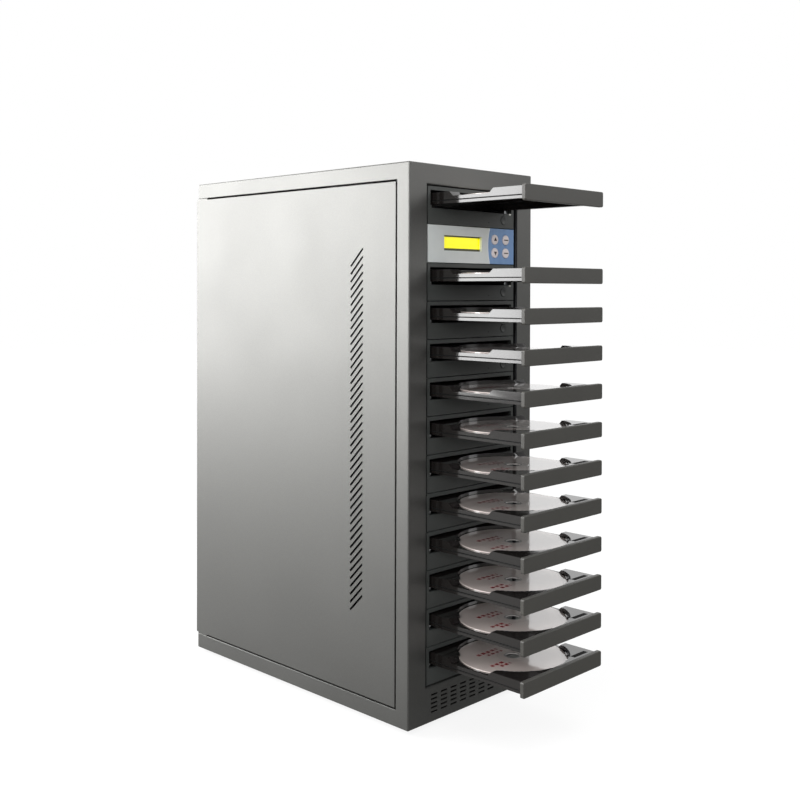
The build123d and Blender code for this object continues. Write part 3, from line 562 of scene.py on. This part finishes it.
def bevelledCopy(node, pieceName, material, body, width, segments=2, longest=0.05):
    bm = mergedCopy(node)
    bevelEdges(bm, sharpEdges(bm, 40, lambda e: e.calc_length() > longest), width, segments)
    if isinstance(material, list):  # the inward faces of the bay opening take the second material, a dark coat of painted shade
        for face in bm.faces:
            middle = face.calc_center_median()
            if abs(middle.x) < shellLook["jamb"] and middle.y < caseLow.y + shellLook["jambDepth"] \
                    and middle.x * face.normal.x < -0.01:
                face.material_index = 1
    piece = meshObject(pieceName, bm, material, body)
    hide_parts(node)
    return piece


bevelledCopy("left_panel", "leftPanel", paint, "left_panel", shellLook["panelEdge"], 3)
bevelledCopy("right_panel", "rightPanel", paint, "right_panel", shellLook["panelEdge"], 3)
bevelledCopy("case_frame", "caseFrame", [paint, jambShadePaint], "case", shellLook["frameEdge"], 2)
bevelledCopy("drive_bezels", "driveBezels", bezelPlastic, "case", shellLook["bezelEdge"], 2, 0.005)
bevelledCopy("control_plate", "controlFascia", foil, "case", shellLook["plateEdge"], 2, 0.02)
print("case made")

bezelLook = {"front": plateLow.y, "sunk": 0.0010,
             "holeX": 0.0285, "holeDrop": 0.0150, "holeRadius": 0.0007, "holeProud": 0.00005,
             "lampX": 0.0670, "lampDrop": 0.0040, "lampHalfWide": 0.0018, "lampHalfHigh": 0.0010,
             "lampProud": 0.0003, "lampRound": 0.0002}


def bezelDetails():
    holes, lamps = bmesh.new(), bmesh.new()
    front, behind = bezelLook["front"], bezelLook["front"] + bezelLook["sunk"]
    x, wide, high = bezelLook["lampX"], bezelLook["lampHalfWide"], bezelLook["lampHalfHigh"]
    for bay in bays:
        hole = bayLevel(bay) - bezelLook["holeDrop"]
        # each release pinhole is a black plug proud of the bezel: painted shade inside the hole
        rod(holes, (bezelLook["holeX"], front - bezelLook["holeProud"], hole),
            (bezelLook["holeX"], behind, hole), bezelLook["holeRadius"], 12)
        lamp = bayLevel(bay) - bezelLook["lampDrop"]
        block(lamps, (x - wide, front - bezelLook["lampProud"], lamp - high), (x + wide, behind, lamp + high),
              bezelLook["lampRound"])
    meshObject("releasePinholeShade", holes, recessShadeBlack, "case")
    meshObject("lampWindows", lamps, lampLens, "case")


bezelDetails()
print("faceplate details made")

# trays, discs and buttons

trayLook = {
    "edge": 0.0003, "shortest": 0.003, "fasciaDepth": 0.004, "fasciaCorner": 0.0020, "fasciaEdge": 0.00075,
    "cutBehind": 0.0002, "overlap": 0.0005, "bevelBehind": 0.0008, "halfWidth": 0.0650, "deck": 0.0135,
    # the slot behind the fascia, and the cut-outs beside the tabs, drawn as black sheets of painted shade
    "slotX": (0.033, 0.058), "slotY": (0.0098, 0.0158), "slotRound": 0.0004, "slotSink": 0.0005,
    "tabRadius": (0.0612, 0.0629), "tabAngles": [(-59, -26), (-154, -121)], "tabSteps": 14, "tabTooth": 0.0008,
    "markLift": 0.00012,
    "grooveLevel": 0.0043, "grooveHalf": 0.00055, "grooveSink": 0.00025, "grooveFloor": 0.0011,
    "grooveY": (0.0042, 0.1500),
}


def fasciaBlock(bm, low, high):
    part = bmesh.new()
    size, middle = high - low, (high + low) / 2
    bmesh.ops.create_cube(part, size=1.0, matrix=Matrix.Translation(middle) @ Matrix.Diagonal((*size, 1)))
    corners = [e for e in part.edges if abs(e.verts[0].co.y - e.verts[1].co.y) > 0.001]
    bevelEdges(part, corners, trayLook["fasciaCorner"], 5)
    front = [e for e in part.edges if all(v.co.y < low.y + 0.0001 for v in e.verts)
             and any(len(f.verts) == 4 for f in e.link_faces)]
    bevelEdges(part, front, trayLook["fasciaEdge"], 3)
    for face in part.faces:
        face.material_index = 1
    joinInto(bm, part)


def trayPiece(bay):
    node = f"tray_{bay:02d}"
    bm = mergedCopy(node)
    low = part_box(node)[0]
    face = low.y + trayLook["fasciaDepth"]
    front = [v.co for v in nodes[node].data.vertices if v.co.y < face + 0.0001]
    fasciaTop = max(co.z for co in front)
    fasciaSide = max(co.x for co in front)
    cut = bmesh.ops.bisect_plane(bm, geom=bm.verts[:] + bm.edges[:] + bm.faces[:], dist=0.00001,
                                 plane_co=(0, face + trayLook["cutBehind"], 0), plane_no=(0, 1, 0), clear_inner=True)
    rim = [e for e in cut["geom_cut"] if isinstance(e, bmesh.types.BMEdge) and e.is_boundary]
    bmesh.ops.triangle_fill(bm, edges=rim, use_beauty=True, normal=(0, -1, 0))
    behind = face + trayLook["bevelBehind"]
    rest = sharpEdges(bm, 25, lambda e: all(v.co.y > behind for v in e.verts)
                      and e.calc_length() > trayLook["shortest"])
    bevelEdges(bm, rest, trayLook["edge"], 1)
    fasciaBlock(bm, Vector((-fasciaSide, low.y, low.z)), Vector((fasciaSide, face + trayLook["overlap"], fasciaTop)))
    piece = meshObject(f"tray{bay:02d}", bm, [trayPlastic, fasciaPlastic], node)
    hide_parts(node)


def trayRecessShade(bay):
    # painted shade: black sheets on the shiny deck at the cut-outs beside the disc's retaining tabs and at the slot
    # behind the fascia, where these are dark
    node = f"tray_{bay:02d}"
    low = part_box(node)[0]
    z = bayLevel(bay) + trayLook["deck"]
    bm = bmesh.new()
    inner, outer = trayLook["tabRadius"]
    for start, end in trayLook["tabAngles"]:
        part = bmesh.new()
        turn = Matrix.Rotation(math.radians(start), 4, "Z")
        ends = [part.verts.new(turn @ Vector((r, 0, 0))) for r in (inner, outer)]
        line = part.edges.new(ends)
        bmesh.ops.spin(part, geom=ends + [line], cent=(0, 0, 0), axis=(0, 0, 1), angle=math.radians(end - start),
                       steps=trayLook["tabSteps"], use_merge=False, use_duplicate=False)
        for v in part.verts:
            step = round((math.degrees(math.atan2(v.co.y, v.co.x)) - start) / (end - start) * trayLook["tabSteps"])
            if step % 2:  # every second pair stands back, which gives the edge its teeth
                v.co.xy *= (v.co.length - trayLook["tabTooth"]) / v.co.length
        up = bmesh.ops.extrude_face_region(part, geom=part.faces[:])["geom"]
        bmesh.ops.translate(part, verts=[v for v in up if isinstance(v, bmesh.types.BMVert)],
                            vec=(0, 0, trayLook["markLift"]))
        bmesh.ops.recalc_face_normals(part, faces=part.faces)
        bmesh.ops.translate(part, verts=part.verts, vec=(0, discLook["y"], z))
        joinInto(bm, part)
    left, right = trayLook["slotX"]
    near, far = trayLook["slotY"]
    block(bm, (left, low.y + near, z - trayLook["slotSink"]), (right, low.y + far, z + trayLook["markLift"]),
          trayLook["slotRound"])
    # a black strip in the running groove: painted shade of the groove floor's own shadow
    groove, half = bayLevel(bay) + trayLook["grooveLevel"], trayLook["grooveHalf"]
    start, end = (low.y + y for y in trayLook["grooveY"])
    for side in (-1, 1):
        across = sorted(side * (trayLook["halfWidth"] - trayLook[k]) for k in ("grooveSink", "grooveFloor"))
        block(bm, (across[0], start, groove - half), (across[1], end, groove + half))
    meshObject(f"trayRecessShade{bay:02d}", bm, recessShadeBlack, node)


def discPiece(bay):
    node = f"disc_{bay:02d}"
    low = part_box(node)[0]
    bm = bmesh.new()
    o, h, t, lip = (discLook[k] for k in ("outer", "hole", "thick", "lip"))
    in1, in2, out2, out1 = discLook["ring"]  # the moulded ring round the hub
    sunk = t - discLook["ringDepth"]
    profile = [(h, lip), (h, t - lip), (h + lip, t), (in1, t), (in2, sunk), (out2, sunk), (out1, t),
               (o - lip, t), (o, t - lip), (o, lip), (o - lip, 0), (h + lip, 0), (h, lip)]
    turned(bm, profile, (0, discLook["y"], low.z), "Z", discLook["steps"])
    for face in bm.faces:
        if face.normal.z < -0.5:
            face.material_index = 1
    piece = meshObject(f"disc{bay:02d}", bm, [discLacquer, discMirror], f"tray_{bay:02d}")
    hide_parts(node)


buttonLook = {"radius": 0.00475, "dish": 0.0005, "round": 0.0007, "collar": 0.00595, "collarDepth": 0.0015,
              "steps": 40}


def ejectPiece(bay):
    node = f"eject_button_{bay:02d}"
    low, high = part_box(node)
    middle = (low + high) / 2
    bm = bmesh.new()
    r, dish, edge, collar = (buttonLook[k] for k in ("radius", "dish", "round", "collar"))
    d = high.y - low.y
    shoulder = d - buttonLook["collarDepth"]
    profile = [(0.0, dish), (r * 0.55, dish * 0.8), (r - edge, 0.0), (r - 0.0002, 0.0001), (r, 0.0005),
               (r, shoulder), (collar, shoulder), (collar, d), (0.0, d)]
    turned(bm, profile, (middle.x, low.y, middle.z), "Y", buttonLook["steps"])
    piece = meshObject(f"ejectButton{bay:02d}", bm, buttonPlastic, node)
    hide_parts(node)


for bay in bays:
    trayPiece(bay)
    trayRecessShade(bay)
    discPiece(bay)
    ejectPiece(bay)
print("trays, discs and buttons made")

# keys

keyLook = {"radius": 0.0058, "collar": 0.0009, "collarDepth": 0.0012, "steps": 48,
           "arrow": 0.0029, "dashPitch": 0.0026, "dashHalfLong": 0.0012, "dashHalfHigh": 0.0006,
           "dashProud": 0.0001, "dashSunk": 0.0003, "arrowProud": 0.000175, "arrowSunk": 0.000375}


def keyPiece(node, name, mark):
    low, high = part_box(node)
    middle = (low + high) / 2
    d, r, collar = high.y - low.y, keyLook["radius"], keyLook["radius"] + keyLook["collar"]
    shoulder = d - keyLook["collarDepth"]
    bm = bmesh.new()
    profile = [(0.0, 0.0), (r - 0.0012, 0.0001), (r - 0.0003, 0.0004), (r, 0.0009), (r, shoulder),
               (collar, shoulder), (collar, d), (0.0, d)]
    turned(bm, profile, (middle.x, low.y, middle.z), "Y", keyLook["steps"])
    piece = meshObject(f"{name}Cap", bm, keyRubber, node)
    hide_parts(node)
    marks = bmesh.new()
    if mark == "dashes":
        half, thick = keyLook["dashHalfLong"], keyLook["dashHalfHigh"]
        for x in (middle.x - keyLook["dashPitch"], middle.x, middle.x + keyLook["dashPitch"]):
            block(marks, (x - half, low.y - keyLook["dashProud"], middle.z - thick),
                  (x + half, low.y + keyLook["dashSunk"], middle.z + thick))
    else:  # a triangle that points up or down
        turn = Matrix.Rotation(math.radians(90), 4, "X")
        turn = turn @ Matrix.Rotation(math.radians(0 if mark == "up" else 180), 4, "Z")
        front, behind = low.y - keyLook["arrowProud"], low.y + keyLook["arrowSunk"]
        place = Matrix.Translation((middle.x, (front + behind) / 2, middle.z))
        bmesh.ops.create_cone(marks, cap_ends=True, segments=3, radius1=keyLook["arrow"], radius2=keyLook["arrow"],
                              depth=behind - front, matrix=place @ turn)
    meshObject(f"{name}Mark", marks, markInk, node)


for node, name, mark in (("key_up", "keyUp", "up"), ("key_down", "keyDown", "down"),
                         ("key_cancel", "keyCancel", "dashes"), ("key_enter", "keyEnter", "dashes")):
    keyPiece(node, name, mark)
print("keys made")

# screws, feet and fan guards

screwLook = {
    "heights": (0.135, 0.485), "across": 0.0905, "knurls": 40, "knurlDepth": 0.00022, "shank": 0.0020,
    "shankDepth": 0.0040, "neckBack": 0.0068, "neckFront": 0.0055, "headBack": 0.0048, "chamfer": 0.0006,
    "dishDepth": 0.0008,
}


def thumbScrews(node, name, side):
    low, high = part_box(node)
    radius = screwLook["heights"][0] - low.z
    bm = bmesh.new()
    back, inner, shank = high.y, caseHigh.y - screwLook["shankDepth"], screwLook["shank"]
    neck, chamfer, dish = back - screwLook["neckBack"], screwLook["chamfer"], back - screwLook["dishDepth"]
    profile = [(0.0, inner), (shank, inner), (shank, neck), (radius * 0.7, neck),
               (radius * 0.72, back - screwLook["neckFront"]), (radius, back - screwLook["headBack"]),
               (radius, back - chamfer), (radius - chamfer, back), (radius * 0.55, back),
               (radius * 0.50, dish), (0.0, dish)]
    for z in screwLook["heights"]:
        part = bmesh.new()
        turned(part, profile, (0, 0, 0), "Y", screwLook["knurls"])
        for v in part.verts:
            reach = math.hypot(v.co.x, v.co.z)
            step = round(math.atan2(v.co.z, v.co.x) / math.tau * screwLook["knurls"])
            if step % 2 and reach > radius - 0.0001:  # every second line of the rim is cut back
                v.co.xz *= 1 - screwLook["knurlDepth"] / reach
        bmesh.ops.translate(part, verts=part.verts, vec=(side * screwLook["across"], 0, z))
        joinInto(bm, part)
    piece = meshObject(name, bm, plainSteel, node.replace("_screws", ""), smoothAngle=15)
    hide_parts(node)


thumbScrews("left_panel_screws", "leftThumbScrews", -1)
thumbScrews("right_panel_screws", "rightThumbScrews", 1)


footLook = {"radius": 0.00995, "recess": 0.0012, "recessRadius": 0.0035, "recessFlare": 0.0005, "sole": 0.0016,
            "edge": 0.0004, "steps": 48}


def rubberFeet():
    low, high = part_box("feet")
    radius, recess, edge, top = footLook["radius"], footLook["recess"], footLook["edge"], high.z
    screw = footLook["recessRadius"]
    profile = [(0.0, recess), (screw, recess), (screw + footLook["recessFlare"], 0.0),
               (radius - footLook["sole"], 0.0),
               (radius - 2 * edge, edge), (radius - edge, 3 * edge), (radius, top - edge),
               (radius - edge / 2, top), (0.0, top)]
    bm = bmesh.new()
    for x in (low.x + radius, high.x - radius):
        for y in (low.y + radius, high.y - radius):
            turned(bm, profile, (x, y, 0), "Z", footLook["steps"])
    piece = meshObject("rubberFeet", bm, footRubber, "case")
    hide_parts("feet")


rubberFeet()

guardLook = {
    "wire": 0.0008, "standoff": 0.0016, "ringSteps": 56, "wireSides": 8,
    "eyeRadius": 0.0034, "eyeSteps": 20, "spokeEnd": 0.003, "spokeStart": 0.66,
    # radius and height over the panel of the screws' round heads
    "screw": [(0.0, 0.0034), (0.0022, 0.0032), (0.0036, 0.0022), (0.0038, 0.0012), (0.0028, 0.0002), (0.0, 0.0002)],
    "caseRings": (0.013, 0.023, 0.033, 0.043, 0.053), "caseEye": 0.0525,
    "supplyRings": (0.010, 0.018, 0.026, 0.034), "supplyEye": 0.0315,
}


def fanGuard(name, rotor, rings, eye):
    # plated wire guard: rings on four spokes, each spoke ending in an eye round a screw
    low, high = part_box(rotor)
    x, z = (low.x + high.x) / 2, (low.z + high.z) / 2
    back, wire = caseHigh.y, guardLook["wire"]
    y = back + guardLook["standoff"]
    guard, screws = bmesh.new(), bmesh.new()
    for radius in rings:
        wireRing(guard, (x, y, z), radius, wire, guardLook["ringSteps"])
    start, end = rings[0] * guardLook["spokeStart"], eye - guardLook["spokeEnd"]
    for sx in (-1, 1):
        for sz in (-1, 1):
            rod(guard, (x + sx * start, y, z + sz * start), (x + sx * end, y, z + sz * end), wire,
                guardLook["wireSides"])
            wireRing(guard, (x + sx * eye, y, z + sz * eye), guardLook["eyeRadius"], wire, guardLook["eyeSteps"])
            turned(screws, guardLook["screw"], (x + sx * eye, back, z + sz * eye), "Y", guardLook["eyeSteps"])
    meshObject(f"{name}Guard", guard, plainSteel, "case")
    meshObject(f"{name}Screws", screws, plainSteel, "case")


fanGuard("upperFan", "upper_fan_rotor", guardLook["caseRings"], guardLook["caseEye"])
fanGuard("lowerFan", "lower_fan_rotor", guardLook["caseRings"], guardLook["caseEye"])
fanGuard("supplyFan", "supply_fan_rotor", guardLook["supplyRings"], guardLook["supplyEye"])
print("screws, feet and guards made")

# CAD nodes that keep their shape

finishes = {
    "rear_panel": paint, "drive_cage": zincSteel, "drive_housings": zincSteel, "power_supply": zincSteel,
    "display_module": display, "fan_frames": blackPlastic, "upper_fan_rotor": blackPlastic,
    "lower_fan_rotor": blackPlastic, "supply_fan_rotor": blackPlastic, "power_inlet": blackPlastic,
    "power_switch": blackPlastic,
}
for name, node in nodes.items():
    node.data.materials.clear()
    node.data.materials.append(finishes.get(name, blackPlastic))  # the rest are hidden behind their pieces
print("finishes set")
